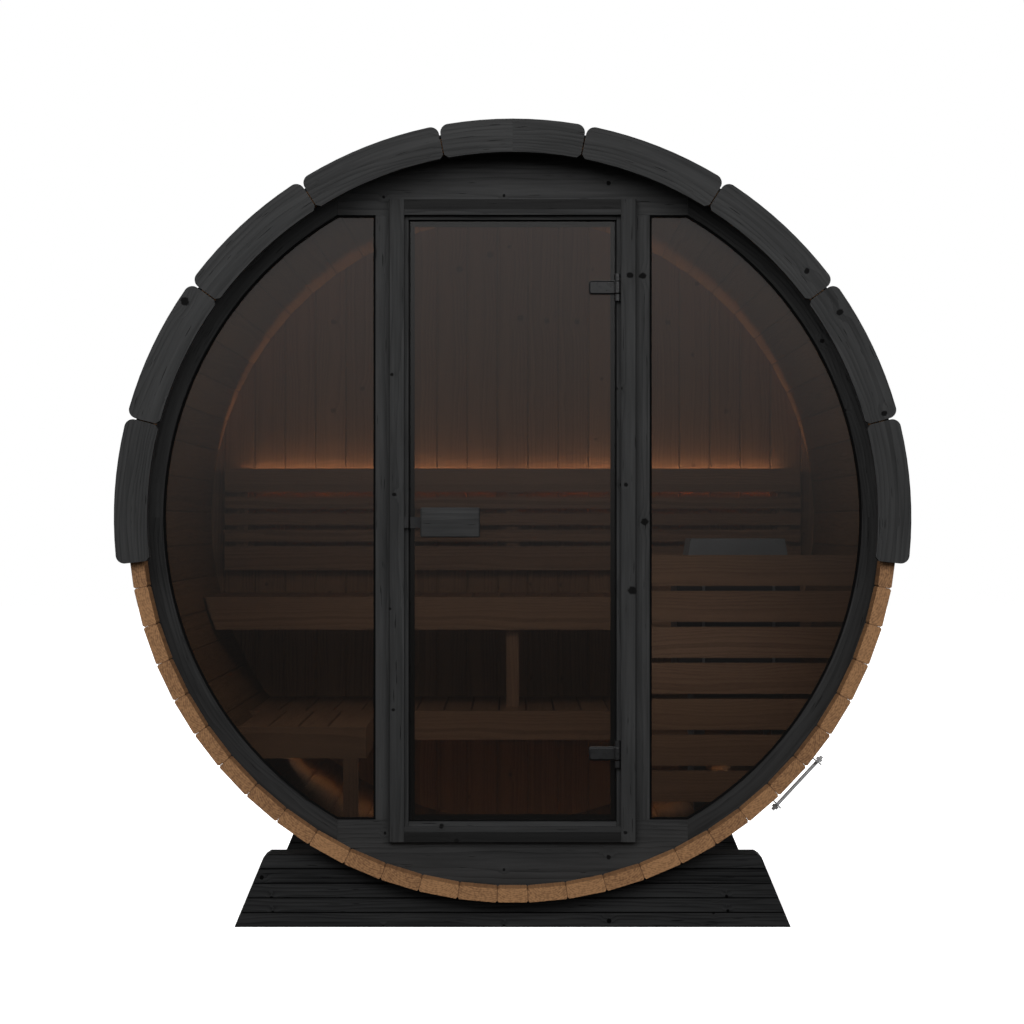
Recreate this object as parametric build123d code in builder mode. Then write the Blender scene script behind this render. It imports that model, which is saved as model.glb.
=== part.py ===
"""Barrel sauna: a barrel of wooden staves on two cradles, with a glazed front wall and a glass door.

Millimetres. +X is to the right as seen from the front, +Y runs to the back along the barrel's axis and
+Z is up. The origin is on the ground, at the middle of the barrel's length and width.
"""

import os
from math import atan, cos, degrees, radians, sin, sqrt, tan

from build123d import *

# Driving dimensions of the barrel
barrel_length = 1950.0
barrel_radius = 1060.0  # to the flat outer faces of the staves
ground_clearance = 75.0  # from the ground to the lowest stave
stave_thickness = 38.0
staves_per_group = 15
stave_groups = ("lower_staves_right", "roof_staves_right", "roof_staves_left", "lower_staves_left")
closing_stave_width = 85.5
stave_chamfer = 4.0
tongue_base = 12.0
tongue_depth = 4.5
joint_gap = 0.4  # between neighbouring boards
fit = 0.4  # between a board and the groove or seat that holds it

# End walls, let into grooves across the staves
wall_recess = 80.0  # from the stave ends to the wall's outer face
wall_thickness = 42.0
groove_depth = 12.0
back_board_pitch = 103.0
board_bevel = 4.0

# Fascia boards over the stave ends, and the roof covering behind them
fascia_boards = 9
fascia_end_angle = 96.9  # from the top of the barrel
fascia_projection = 34.0  # beyond the staves' outer faces
fascia_lap = 19.0  # inside the staves' inner faces
fascia_thickness = 28.0
fascia_gap = 3.5
fascia_outer_round = 24.0
fascia_inner_chamfer = 10.0
covering_thickness = 5.0
covering_end_angle = 95.0

# Steel hoops, each drawn tight by a bolt between two lugs
hoop_setback = 205.0  # from the stave ends to the middle of the hoop
hoop_width = 30.0
hoop_thickness = 1.5
hoop_joint_angle = 47.0  # of the bolt, up from the bottom of the barrel on the right
lug_spacing = 160.0
lug_height = 54.0
lug_thickness = 4.0
bolt_diameter = 10.0
bolt_length = 206.0
bolt_standoff = 38.0
nut_width = 17.0
nut_height = 9.0
nut_sides = 6

# Cradles of stacked timbers
cradle_setback = 50.0
cradle_depth = 120.0
cradle_timbers = 5
cradle_timber_height = 40.0
cradle_horn = 181.0  # of the top timber, beyond the barrel it seats
cradle_spread = 84.0  # of the base, beyond the top at each end
cradle_corner = 9.0
cradle_bevel = 2.0

# Front wall and its windows
ring_reveal = 50.0  # of the ring boards, inside the staves
end_board_reveal = 181.0  # of the top and bottom boards, inside the staves
post_width = 50.0
glass_thickness = 8.0
seal_width = 6.0
seal_depth = 18.0
seal_lip = 5.0
glass_bite = 3.0  # of the pane behind the seal's lip
glazing_setback = 8.0  # from the wall's outer face to the seal

# Door leaf, its frame and its casing
leaf_width = 568.0
leaf_drop = 9.0  # of the leaf's middle below the barrel's axis
leaf_setback = 4.0
leaf_clearance = 5.0
frame_board = 42.0
frame_depth = 60.0
stop_width = 15.0
casing_lip = 12.0  # of the frame left showing inside the casing
casing_width = 43.0
casing_thickness = 18.0

# Handles, catch and hinges
handle_drop = 5.0  # of the handles and the catch, below the leaf's middle
handle_width = 164.0
handle_height = 83.0
handle_thickness = 20.0
handle_chamfer = 3.0
handle_standoff = 24.0
handle_block_width = 26.0
handle_block_height = 44.0
handle_block_spacing = 116.0
handle_edge_distance = 29.0  # from the leaf's free edge to the handle
catch_height = 30.0
catch_thickness = 14.0
hinge_inset = 184.0  # from the leaf's end to the middle of a hinge
hinge_reach = 7.0  # from the leaf's edge out to the hinge axis
hinge_standoff = 14.0  # from the leaf's face out to the hinge axis
knuckle_diameter = 16.0
knuckle_length = 25.0
knuckle_count = 3
knuckle_gap = 0.5
pin_diameter = 8.0
pin_clearance = 0.3
hinge_plate_length = 72.0
hinge_plate_height = 39.0
hinge_plate_round = 9.0
hinge_plate_thickness = 5.0
hinge_neck = 5.0
frame_leaf_thickness = 1.6

# Benches and backrest
slat_width = 80.0
slat_gap = 6.5
slat_thickness = 26.0
narrowest_slat = 30.0
rail_height = 45.0
rail_thickness = 28.0
apron_thickness = 28.0
standing_depth = 948.0  # from the front wall to the lower bench
lower_bench_height = 419.0  # of the bench top, over the bottom of the barrel's inside
lower_apron_height = 90.0
upper_bench_height = 771.0
upper_bench_step = 180.0  # from the lower bench's front to the upper one's
upper_apron_height = 104.0
upper_apron_end_gap = 10.0
side_bench_length = 710.0
side_bench_edge = 422.0  # from the barrel's axis to the side bench's inner edge
leg_width = 43.0
leg_inset = 23.0
backrest_rise = 78.0  # of the backrest over the upper bench
backrest_end_gap = 35.0
wide_backrest_slat = 80.0
narrow_backrest_slat = 39.0
narrow_backrest_slats = 3
backrest_gap = 16.5
backrest_thickness = 22.0
batten_width = 40.0
batten_thickness = 36.0
batten_inset = 57.0  # from the backrest's end to the outer batten's middle
light_section = 14.0
light_inset = 62.0
light_drop = 14.0  # of the backrest light, below the top slat's edge

# Heater and its guard
heater_width = 366.0
heater_depth = 330.0
heater_body_height = 360.0
heater_base_height = 528.0  # of the body's underside, over the bottom of the barrel's inside
heater_setback = 478.0  # from the front wall's inner face
heater_side_gap = 41.0  # from the body's lower edge to the staves
heater_round = 12.0
hood_width = 279.0
hood_depth = 264.0
hood_height = 72.0
hood_flare = 12.0
rib_spacing = 208.0
rib_width = 8.0
rib_depth = 6.0
plinth_height = 40.0
plinth_width = 264.0
heater_leg = 32.0
guard_setback = 378.0
guard_post_lap = 36.0  # of the guard behind the front post
guard_top_height = 913.0  # over the bottom of the barrel's inside
guard_slats = 7
guard_slat_height = 90.0
guard_slat_gap = 15.4
guard_slat_thickness = 22.0
guard_post = 45.0

# Derived places along and across the barrel
front = -barrel_length / 2
back = barrel_length / 2
wall_outer = front + wall_recess
wall_inner = wall_outer + wall_thickness
back_wall_inner = back - wall_recess - wall_thickness
axis_height = ground_clearance + barrel_radius
inner_radius = barrel_radius - stave_thickness
inside_bottom = axis_height - inner_radius
groove_radius = inner_radius + groove_depth
wall_radius = groove_radius - fit

# Derived angles of the staves, counted from the closing stave at the bottom
full_staves = staves_per_group * len(stave_groups)
closing_angle = 2 * degrees(atan(closing_stave_width / 2 / barrel_radius))
stave_angle = (360 - closing_angle) / full_staves
first_stave = -90 + (closing_angle + stave_angle) / 2
stave_joint = (barrel_radius + inner_radius) / 2  # radius of the tongues
stave_corner = barrel_radius * tan(radians(stave_angle / 2)) - stave_chamfer
hull_radius = sqrt(barrel_radius**2 + stave_corner**2)  # over the corners of the staves
hoop_inside = barrel_radius + fit
hoop_outside = hoop_inside + hoop_thickness
half_lug_angle = lug_spacing / 2 / hoop_outside  # in radians

# Derived sizes of the front wall, from the windows and the door leaf outwards
window_radius = inner_radius - ring_reveal
window_half_height = inner_radius - end_board_reveal
leaf_height = 2 * (window_half_height - leaf_drop)  # its foot is level with the windows'
leaf_middle = axis_height - leaf_drop
handle_level = leaf_middle - handle_drop
leaf_front = wall_outer + leaf_setback
leaf_back = leaf_front + glass_thickness
leaf_left = -leaf_width / 2
frame_half_width = leaf_width / 2 + leaf_clearance
frame_half_height = leaf_height / 2 + leaf_clearance
frame_outer_x = frame_half_width + frame_board
frame_outer_z = frame_half_height + frame_board
casing_inner_x = frame_half_width + casing_lip
casing_inner_z = frame_half_height + casing_lip
window_inner_edge = frame_outer_x + post_width


def section(y):
    """Plane across the barrel at y, centred on its axis. Extruding from it runs towards the front."""
    return Plane(origin=(0, y, axis_height), x_dir=(1, 0, 0), z_dir=(0, -1, 0))


def half_chord(height):
    """Half the width of the barrel's inside at a height over the ground."""
    return sqrt((inner_radius - fit) ** 2 - (height - axis_height) ** 2)


def board(x_range, y_range, z_range):
    """Add a squared board that fills three ranges to the part being built."""
    ranges = (x_range, y_range, z_range)
    with Locations(Vector(*[sum(limits) / 2 for limits in ranges])):
        Box(*[max(limits) - min(limits) for limits in ranges])


def around(middle, width):
    """Range of a width about its middle."""
    return (middle - width / 2, middle + width / 2)


def trim_to_barrel(gap):
    """Keep only what lies inside the staves of the part being built, a gap away from them."""
    with BuildSketch(section(back)) as inside:
        Circle(inner_radius - gap)
    extrude(inside.sketch, amount=barrel_length, mode=Mode.INTERSECT)


def keep(built, name):
    """Label a finished piece and write it out."""
    built.part.label = name
    export_step(built.part, f"parts/{name}.step")


def stave_outline(angle):
    """Section of one stave about the +X direction, with a tongue on one edge and its groove on the other."""
    half = radians(angle / 2)

    def on_joint(radius, sign, out):
        """Point on the joint line of one edge, at a radius, moved out across that line."""
        return (
            radius * cos(half) - out * sin(half),
            sign * (radius * sin(half) + out * cos(half)),
        )

    def edge(sign):
        """Points down one edge, from the outer face to the inner one."""
        steps = [
            (barrel_radius - stave_chamfer, 0),
            (stave_joint + tongue_base / 2, 0),
            (stave_joint, sign * tongue_depth),
            (stave_joint - tongue_base / 2, 0),
            (inner_radius + stave_chamfer, 0),
        ]
        points = [on_joint(radius, sign, out - joint_gap / 2) for radius, out in steps]
        outer_corner = (barrel_radius, points[0][1] - sign * stave_chamfer)
        inner_corner = (inner_radius, points[-1][1] - sign * stave_chamfer)
        return [outer_corner, *points, inner_corner]

    with BuildSketch() as outline:
        with BuildLine():
            Polyline(*edge(1), *reversed(edge(-1)), close=True)
        make_face()
    return outline.sketch


def stave_group(angle, count, first_angle):
    """Staves side by side round the barrel, each grooved straight across for both end walls."""
    fan = angle * (count - 1)
    groove_width = 2 * groove_radius * tan(radians(angle / 2)) - joint_gap / 2
    with BuildPart() as staves:
        with BuildSketch(section(back)):
            with PolarLocations(0, count, first_angle, fan, endpoint=True):
                add(stave_outline(angle))
        extrude(amount=barrel_length)
        for groove_end in (wall_inner + fit, back - wall_recess + fit):
            with BuildSketch(section(groove_end)):
                with PolarLocations(inner_radius, count, first_angle, fan, endpoint=True):
                    Rectangle(2 * groove_depth, groove_width)
            extrude(amount=wall_thickness + 2 * fit, mode=Mode.SUBTRACT)
    return staves


def ring_sector(inner, outer, half_angle, gap=0.0):
    """Flat piece of a ring about the +X direction, with each end drawn in by half a gap."""

    def corner(radius, sign):
        turn = radians(half_angle) - gap / 2 / radius
        return (radius * cos(turn), sign * radius * sin(turn))

    with BuildSketch() as sector:
        with BuildLine():
            for radius in (inner, outer):
                ThreePointArc(corner(radius, 1), (radius, 0), corner(radius, -1))
            for sign in (1, -1):
                Line(corner(outer, sign), corner(inner, sign))
        make_face()
    return sector.sketch


def fascia(face):
    """Curved boards with eased corners, set end to end over the upper stave ends."""
    board_angle = 2 * fascia_end_angle / fascia_boards
    with BuildSketch() as outline:
        add(
            ring_sector(
                inner_radius - fascia_lap,
                barrel_radius + fascia_projection,
                board_angle / 2,
                fascia_gap,
            )
        )
        chamfer(outline.vertices().group_by(Axis.X)[0], fascia_inner_chamfer)
        fillet(outline.vertices().group_by(Axis.X)[-1], fascia_outer_round)
    first = 90 - fascia_end_angle + board_angle / 2
    fan = board_angle * (fascia_boards - 1)
    with BuildPart() as boards:
        with BuildSketch(section(face)):
            with PolarLocations(0, fascia_boards, first, fan, endpoint=True):
                add(outline.sketch)
        extrude(amount=fascia_thickness)
    return boards


def along_staves(apothem):
    """Outline that follows the staves round the barrel, flat along each of them and bent at their joints."""
    faces = [-90, *[first_stave + index * stave_angle for index in range(full_staves)], 270]
    corners = []
    for this, following in zip(faces, faces[1:]):
        turn = radians((this + following) / 2)
        radius = apothem / cos(radians((following - this) / 2))
        corners.append((radius * cos(turn), radius * sin(turn)))
    with BuildSketch() as outline:
        with BuildLine():
            Polyline(*corners, close=True)
        make_face()
    return outline.sketch


def hoop(middle):
    """Flat steel band round the staves, open between two upright lugs."""
    half_opening = degrees(half_lug_angle)
    joint = hoop_joint_angle - 90
    lug_middle = hull_radius + fit + lug_height / 2
    with BuildPart() as band:
        with BuildSketch(section(middle + hoop_width / 2)):
            add(along_staves(hoop_outside))
            add(along_staves(hoop_inside), mode=Mode.SUBTRACT)
            opening = ring_sector(inner_radius, 2 * barrel_radius, half_opening)
            add(opening, rotation=joint, mode=Mode.SUBTRACT)
            with PolarLocations(lug_middle, 2, joint - half_opening, 2 * half_opening, endpoint=True):
                Rectangle(lug_height, lug_thickness)
        extrude(amount=hoop_width)
        with BuildSketch(bolt_plane(middle).offset(-bolt_length / 2)):
            Circle(bolt_diameter / 2 + fit)
        extrude(amount=bolt_length, mode=Mode.SUBTRACT)
    return band


def bolt_plane(middle):
    """Plane at a tension bolt's middle, square to the bolt."""
    turn = radians(hoop_joint_angle - 90)
    radius = hull_radius + bolt_standoff
    origin = (radius * cos(turn), middle, axis_height + radius * sin(turn))
    return Plane(origin=origin, x_dir=(0, 1, 0), z_dir=(-sin(turn), 0, cos(turn)))


def cradle(rear_face):
    """Stacked timbers with bevelled joints and sloping ends, hollowed on top to seat the barrel."""
    pitch = cradle_timber_height + joint_gap
    height = cradle_timbers * pitch - joint_gap
    seat_radius = hull_radius + fit
    half_top = sqrt(seat_radius**2 - (axis_height - height) ** 2) + cradle_horn
    half_base = half_top + cradle_spread
    with BuildPart() as stack:
        with BuildSketch(Plane(origin=(0, rear_face, 0), x_dir=(1, 0, 0), z_dir=(0, -1, 0))):
            with BuildLine():
                Polyline(
                    (-half_base, 0),
                    (half_base, 0),
                    (half_top, height),
                    (-half_top, height),
                    close=True,
                )
            outline = make_face()
            chamfer(outline.vertices().group_by(Axis.Y)[-1], cradle_corner)
            for level in range(1, cradle_timbers):
                with Locations((0, level * pitch - joint_gap / 2)):
                    Rectangle(2 * half_base, joint_gap, mode=Mode.SUBTRACT)
            with Locations((0, axis_height)):
                Circle(seat_radius, mode=Mode.SUBTRACT)
        extrude(amount=cradle_depth)
        with BuildSketch(Plane.YZ):
            for level in range(1, cradle_timbers):
                for face in (rear_face - cradle_depth, rear_face):
                    with Locations((face, level * pitch - joint_gap / 2)):
                        RegularPolygon(cradle_bevel, 4)
        extrude(amount=half_base, both=True, mode=Mode.SUBTRACT)
    return stack


def picture_frame(inner_x, inner_z, width, y_range):
    """Four boards round the leaf's middle: two uprights, and two cross boards fitted between them."""
    outer_z = inner_z + width
    with BuildPart() as boards:
        for sign in (-1, 1):
            upright = sorted((sign * inner_x, sign * (inner_x + width)))
            board(upright, y_range, around(leaf_middle, 2 * outer_z))
            cross = sorted((leaf_middle + sign * inner_z, leaf_middle + sign * outer_z))
            board(around(0, 2 * (inner_x - joint_gap)), y_range, cross)
    return boards


def back_board_outline():
    """Section of one back board, bevelled on both faces, tongued on one edge and grooved on the other."""

    def edge(sign):
        """Points down one edge, from the outer face to the inner one."""
        side = sign * (back_board_pitch - joint_gap) / 2
        return [
            (side - sign * board_bevel, wall_thickness / 2),
            (side, wall_thickness / 2 - board_bevel),
            (side, tongue_base / 2),
            (side + tongue_depth, 0),
            (side, -tongue_base / 2),
            (side, board_bevel - wall_thickness / 2),
            (side - sign * board_bevel, -wall_thickness / 2),
        ]

    with BuildSketch() as outline:
        with BuildLine():
            Polyline(*edge(1), *reversed(edge(-1)), close=True)
        make_face()
    return outline.sketch


def bench_slats(middles, y_range, top):
    """Slats side by side that run from front to back, ripped to the barrel at its wall."""
    with BuildPart() as slats:
        for middle in middles:
            board(around(middle, slat_width), y_range, (top - slat_thickness, top))
        trim_to_barrel(fit)
    return slats


def full_width_slats(y_range, top):
    """Slats across the whole barrel, set out from its middle."""
    pitch = slat_width + slat_gap
    reach = half_chord(top - slat_thickness) - narrowest_slat + slat_width / 2
    side_count = int(reach / pitch)
    return bench_slats([pitch * index for index in range(-side_count, side_count + 1)], y_range, top)


def cross_boards(y_starts, thickness, z_range, end_gap):
    """Boards on edge across the barrel, with their ends cut to it."""
    with BuildPart() as boards:
        for start in y_starts:
            board(around(0, 2 * inner_radius), (start, start + thickness), z_range)
        trim_to_barrel(end_gap)
    return boards


os.makedirs("parts", exist_ok=True)

# Barrel
for index, name in enumerate(stave_groups):
    first_of_group = first_stave + index * staves_per_group * stave_angle
    keep(stave_group(stave_angle, staves_per_group, first_of_group), name)
keep(stave_group(closing_angle, 1, -90), "closing_stave")

# Fascia boards and roof covering
keep(fascia(front - fit), "front_fascia")
keep(fascia(back + fit + fascia_thickness), "rear_fascia")
with BuildPart() as roof_covering:
    covering_inside = hoop_outside + fit
    with BuildSketch(section(back)):
        add(along_staves(covering_inside + covering_thickness))
        add(along_staves(covering_inside), mode=Mode.SUBTRACT)
        covered = ring_sector(inner_radius, 2 * barrel_radius, covering_end_angle)
        add(covered, rotation=90, mode=Mode.INTERSECT)
    extrude(amount=barrel_length)
keep(roof_covering, "roof_covering")

# Hoops and their tension bolts
hoop_middles = {"front_hoop": front + hoop_setback, "rear_hoop": back - hoop_setback}
for name, middle in hoop_middles.items():
    keep(hoop(middle), name)
lug_face = (hull_radius + bolt_standoff) * tan(half_lug_angle) + lug_thickness / 2 / cos(half_lug_angle)
nut_seat = lug_face + nut_width * tan(half_lug_angle) + fit
with BuildPart() as tension_bolts:
    for middle in hoop_middles.values():
        with BuildSketch(bolt_plane(middle).offset(-bolt_length / 2)):
            Circle(bolt_diameter / 2)
        extrude(amount=bolt_length)
        for start in (nut_seat, -nut_seat - nut_height):
            with BuildSketch(bolt_plane(middle).offset(start)):
                RegularPolygon(nut_width / 2, nut_sides, major_radius=False)
            extrude(amount=nut_height)
keep(tension_bolts, "tension_bolts")

# Cradles
keep(cradle(front + cradle_setback + cradle_depth), "front_cradle")
keep(cradle(back - cradle_setback), "rear_cradle")

# Front wall
ring_joint = sqrt(window_radius**2 - window_half_height**2)
end_board_height = wall_radius - window_half_height
for name, sign in (("front_wall_top", 1), ("front_wall_bottom", -1)):
    with BuildPart() as end_board:
        with BuildSketch(section(wall_inner)):
            add(along_staves(wall_radius))
            with Locations((0, sign * (window_half_height + end_board_height / 2))):
                Rectangle(2 * ring_joint - joint_gap, end_board_height, mode=Mode.INTERSECT)
            with Locations((0, -leaf_drop)):
                Rectangle(2 * (frame_outer_x + fit), 2 * (frame_outer_z + fit), mode=Mode.SUBTRACT)
        extrude(amount=wall_thickness)
    keep(end_board, name)
for name, sign in (("front_ring_left", -1), ("front_ring_right", 1)):
    with BuildPart() as ring_board:
        with BuildSketch(section(wall_inner)):
            add(along_staves(wall_radius))
            Circle(window_radius, mode=Mode.SUBTRACT)
            with Locations((sign * (ring_joint + joint_gap / 2 + wall_radius / 2), 0)):
                Rectangle(wall_radius, 2 * wall_radius, mode=Mode.INTERSECT)
        extrude(amount=wall_thickness)
    keep(ring_board, name)
with BuildPart() as front_posts:
    post_x = (frame_outer_x + fit, window_inner_edge)
    post_z = around(axis_height, 2 * (window_half_height - joint_gap))
    board(post_x, (wall_outer, wall_inner), post_z)
    mirror(about=Plane.YZ)
keep(front_posts, "front_posts")

# Windows
with BuildSketch() as window_outline:
    Circle(window_radius - fit)
    with Locations((window_inner_edge + fit + window_radius / 2, 0)):
        Rectangle(window_radius, 2 * (window_half_height - fit), mode=Mode.INTERSECT)
pane_front = wall_outer + glazing_setback + seal_lip + fit
for name, turn in (("window_glass_right", 0), ("window_glass_left", 180)):
    with BuildPart() as pane:
        with BuildSketch(section(pane_front + glass_thickness)):
            add(window_outline.sketch, rotation=turn)
            offset(amount=-glass_bite, mode=Mode.REPLACE)
        extrude(amount=glass_thickness)
    keep(pane, name)
with BuildPart() as window_seals:
    seal_front = wall_outer + glazing_setback
    for turn in (0, 180):
        for depth, width in ((seal_lip, seal_width), (seal_depth, glass_bite - fit)):
            with BuildSketch(section(seal_front + depth)):
                add(window_outline.sketch, rotation=turn)
                offset(amount=-width, mode=Mode.SUBTRACT)
            extrude(amount=depth)
keep(window_seals, "window_seals")

# Door frame, stops and casing
frame_back = wall_outer + frame_depth
keep(picture_frame(frame_half_width, frame_half_height, frame_board, (wall_outer, frame_back)), "door_frame")
stop_x = frame_half_width - stop_width
stop_z = frame_half_height - stop_width
stop_y = (leaf_back + leaf_clearance, frame_back)
keep(picture_frame(stop_x, stop_z, stop_width - joint_gap, stop_y), "door_stops")
casing_y = (wall_outer - casing_thickness, wall_outer)
keep(picture_frame(casing_inner_x, casing_inner_z, casing_width, casing_y), "door_casing")

# Door leaf with its handles and catch
with BuildPart() as door_glass:
    board(around(0, leaf_width), (leaf_front, leaf_back), around(leaf_middle, leaf_height))
keep(door_glass, "door_glass")
handle_middle = leaf_left + handle_edge_distance + handle_width / 2
for name, face, out in (("outer_handle", leaf_front - fit, -1), ("inner_handle", leaf_back + fit, 1)):
    plate_y = sorted(face + out * reach for reach in (handle_standoff, handle_standoff + handle_thickness))
    block_y = sorted((face, face + out * (handle_standoff - fit)))
    with BuildPart() as handle:
        board(around(handle_middle, handle_width), plate_y, around(handle_level, handle_height))
        chamfer(handle.edges(), handle_chamfer)
        for side in (-1, 1):
            block_x = around(handle_middle + side * handle_block_spacing / 2, handle_block_width)
            board(block_x, block_y, around(handle_level, handle_block_height))
    keep(handle, name)
with BuildPart() as door_catch:
    catch_x = (leaf_left, leaf_left + handle_edge_distance - joint_gap)
    catch_z = around(handle_level, catch_height)
    board(catch_x, (leaf_front - fit - catch_thickness, leaf_front - fit), catch_z)
keep(door_catch, "door_catch")
with BuildPart() as catch_keeper:
    keeper_x = (fit - casing_inner_x, -frame_half_width)
    board(keeper_x, (wall_outer - casing_thickness + fit, wall_outer - fit), catch_z)
keep(catch_keeper, "catch_keeper")

# Hinges: the frame half carries the pin, the door half turns on it
hinge_x = leaf_width / 2 + hinge_reach
hinge_y = leaf_front - hinge_standoff
hinge_spread = leaf_height - 2 * hinge_inset
hinge_levels = around(leaf_middle, hinge_spread)
knuckle_height = knuckle_count * knuckle_length
with BuildPart() as frame_hinges:
    for level in hinge_levels:
        foot, head = around(level, knuckle_height)
        with BuildSketch(Plane(origin=(hinge_x, hinge_y, foot))):
            Circle(pin_diameter / 2)
        extrude(amount=knuckle_height)
        for start in (foot, head - knuckle_length):
            with BuildSketch(Plane(origin=(hinge_x, hinge_y, start))):
                Circle(knuckle_diameter / 2)
                with Locations((knuckle_diameter / 4, (wall_outer - fit - hinge_y) / 2)):
                    Rectangle(knuckle_diameter / 2, wall_outer - fit - hinge_y)
            extrude(amount=knuckle_length)
        hinge_leaf_y = (wall_outer - fit - frame_leaf_thickness, wall_outer - fit)
        board((frame_half_width, casing_inner_x - fit), hinge_leaf_y, (foot, head))
keep(frame_hinges, "frame_hinges")
with BuildPart() as door_hinges:
    plate_face = leaf_front - fit
    plate_end = leaf_width / 2 - hinge_plate_length
    neck_depth = plate_face - hinge_y
    for level in hinge_levels:
        with BuildSketch(Plane(origin=(plate_end, plate_face, level), x_dir=(1, 0, 0), z_dir=(0, -1, 0))):
            with Locations((hinge_plate_length / 2, 0)):
                plate = Rectangle(hinge_plate_length, hinge_plate_height)
            fillet(plate.vertices().group_by(Axis.X)[0], hinge_plate_round)
        extrude(amount=hinge_plate_thickness)
        knuckle_foot = level - knuckle_length / 2 + knuckle_gap
        with BuildSketch(Plane(origin=(hinge_x, hinge_y, knuckle_foot))):
            Circle(knuckle_diameter / 2)
            with Locations((-knuckle_diameter / 2 + hinge_neck / 2, neck_depth / 2)):
                Rectangle(hinge_neck, neck_depth)
            with Locations((-knuckle_diameter / 2, neck_depth - hinge_plate_thickness / 2)):
                Rectangle(knuckle_diameter / 2, hinge_plate_thickness)
            Circle(pin_diameter / 2 + pin_clearance, mode=Mode.SUBTRACT)
        extrude(amount=knuckle_length - 2 * knuckle_gap)
keep(door_hinges, "door_hinges")

# Back wall of upright tongued boards
board_count = int(2 * wall_radius / back_board_pitch) + 1
with BuildPart() as back_wall:
    wall_foot = axis_height - groove_radius
    with BuildSketch(Plane(origin=(0, back_wall_inner + wall_thickness / 2, wall_foot))):
        with GridLocations(back_board_pitch, 0, board_count, 1):
            add(back_board_outline())
    extrude(amount=2 * groove_radius)
    with BuildSketch(section(back)):
        add(along_staves(wall_radius))
    extrude(amount=barrel_length, mode=Mode.INTERSECT)
keep(back_wall, "back_wall")

# Lower bench
bench_back = back_wall_inner - fit
lower_top = inside_bottom + lower_bench_height
lower_front = wall_inner + standing_depth
behind_lower_apron = lower_front + apron_thickness + joint_gap
lower_apron_z = (lower_top - lower_apron_height, lower_top)
lower_rail_top = lower_top - slat_thickness - fit
lower_rail_z = (lower_rail_top - rail_height, lower_rail_top)
keep(cross_boards([lower_front], apron_thickness, lower_apron_z, fit), "lower_bench_apron")
keep(full_width_slats((behind_lower_apron, bench_back), lower_top), "lower_bench_slats")
lower_rail_starts = (behind_lower_apron, bench_back - rail_thickness)
keep(cross_boards(lower_rail_starts, rail_thickness, lower_rail_z, fit), "lower_bench_rails")

# Upper bench, with a post under its front rail
upper_top = inside_bottom + upper_bench_height
upper_front = lower_front + upper_bench_step
behind_upper_apron = upper_front + apron_thickness + joint_gap
upper_apron_z = (upper_top - upper_apron_height, upper_top)
upper_rail_top = upper_top - slat_thickness - fit
upper_rail_z = (upper_rail_top - rail_height, upper_rail_top)
keep(cross_boards([upper_front], apron_thickness, upper_apron_z, upper_apron_end_gap), "upper_bench_apron")
keep(full_width_slats((behind_upper_apron, bench_back), upper_top), "upper_bench_slats")
upper_rail_starts = (behind_upper_apron, bench_back - rail_thickness)
keep(cross_boards(upper_rail_starts, rail_thickness, upper_rail_z, fit), "upper_bench_rails")
with BuildPart() as upper_post:
    post_y = (behind_upper_apron, behind_upper_apron + batten_width)
    board(around(0, batten_width), post_y, (lower_top + fit, upper_rail_z[0] - fit))
keep(upper_post, "upper_bench_post")

# Left side bench, from the lower bench towards the door
side_front = lower_front - side_bench_length
side_back = lower_front - fit
behind_side_apron = side_front + apron_thickness + joint_gap
beside_edge_board = -side_bench_edge - apron_thickness - joint_gap
with BuildPart() as side_frame:
    board((-inner_radius, -side_bench_edge), (side_front, side_front + apron_thickness), lower_apron_z)
    edge_board_x = (-side_bench_edge - apron_thickness, -side_bench_edge)
    board(edge_board_x, (behind_side_apron, side_back), lower_apron_z)
    for start in (behind_side_apron, side_back - rail_thickness):
        board((-inner_radius, beside_edge_board), (start, start + rail_thickness), lower_rail_z)
    trim_to_barrel(fit)
keep(side_frame, "side_bench_frame")
side_pitch = slat_width + slat_gap
side_reach = half_chord(lower_top - slat_thickness) + beside_edge_board - narrowest_slat
side_slat_count = int(side_reach / side_pitch) + 1
side_middles = [beside_edge_board - slat_width / 2 - side_pitch * index for index in range(side_slat_count)]
keep(bench_slats(side_middles, (behind_side_apron, side_back), lower_top), "side_bench_slats")
with BuildPart() as side_leg:
    leg_right = -side_bench_edge - leg_inset
    leg_z = (inside_bottom, lower_apron_z[0] - fit)
    board((leg_right - leg_width, leg_right), (side_front, side_front + leg_width), leg_z)
    trim_to_barrel(fit)
keep(side_leg, "side_bench_leg")

# Backrest with its battens
slat_heights = [wide_backrest_slat, *narrow_backrest_slats * [narrow_backrest_slat], wide_backrest_slat]
backrest_front = bench_back - batten_thickness - joint_gap - backrest_thickness
backrest_foot = upper_top + backrest_rise
backrest_top = backrest_foot + sum(slat_heights) + backrest_gap * (len(slat_heights) - 1)
backrest_half = min(half_chord(backrest_foot), half_chord(backrest_top)) - backrest_end_gap
with BuildPart() as backrest_slats:
    foot = backrest_foot
    for height in slat_heights:
        slat_y = (backrest_front, backrest_front + backrest_thickness)
        board(around(0, 2 * backrest_half), slat_y, (foot, foot + height))
        foot += height + backrest_gap
keep(backrest_slats, "backrest_slats")
with BuildPart() as backrest_battens:
    batten_reach = backrest_half - batten_inset
    batten_z = (backrest_foot, backrest_top - light_drop - light_section - fit)
    for middle in (-batten_reach, 0, batten_reach):
        board(around(middle, batten_width), (bench_back - batten_thickness, bench_back), batten_z)
keep(backrest_battens, "backrest_battens")

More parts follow.
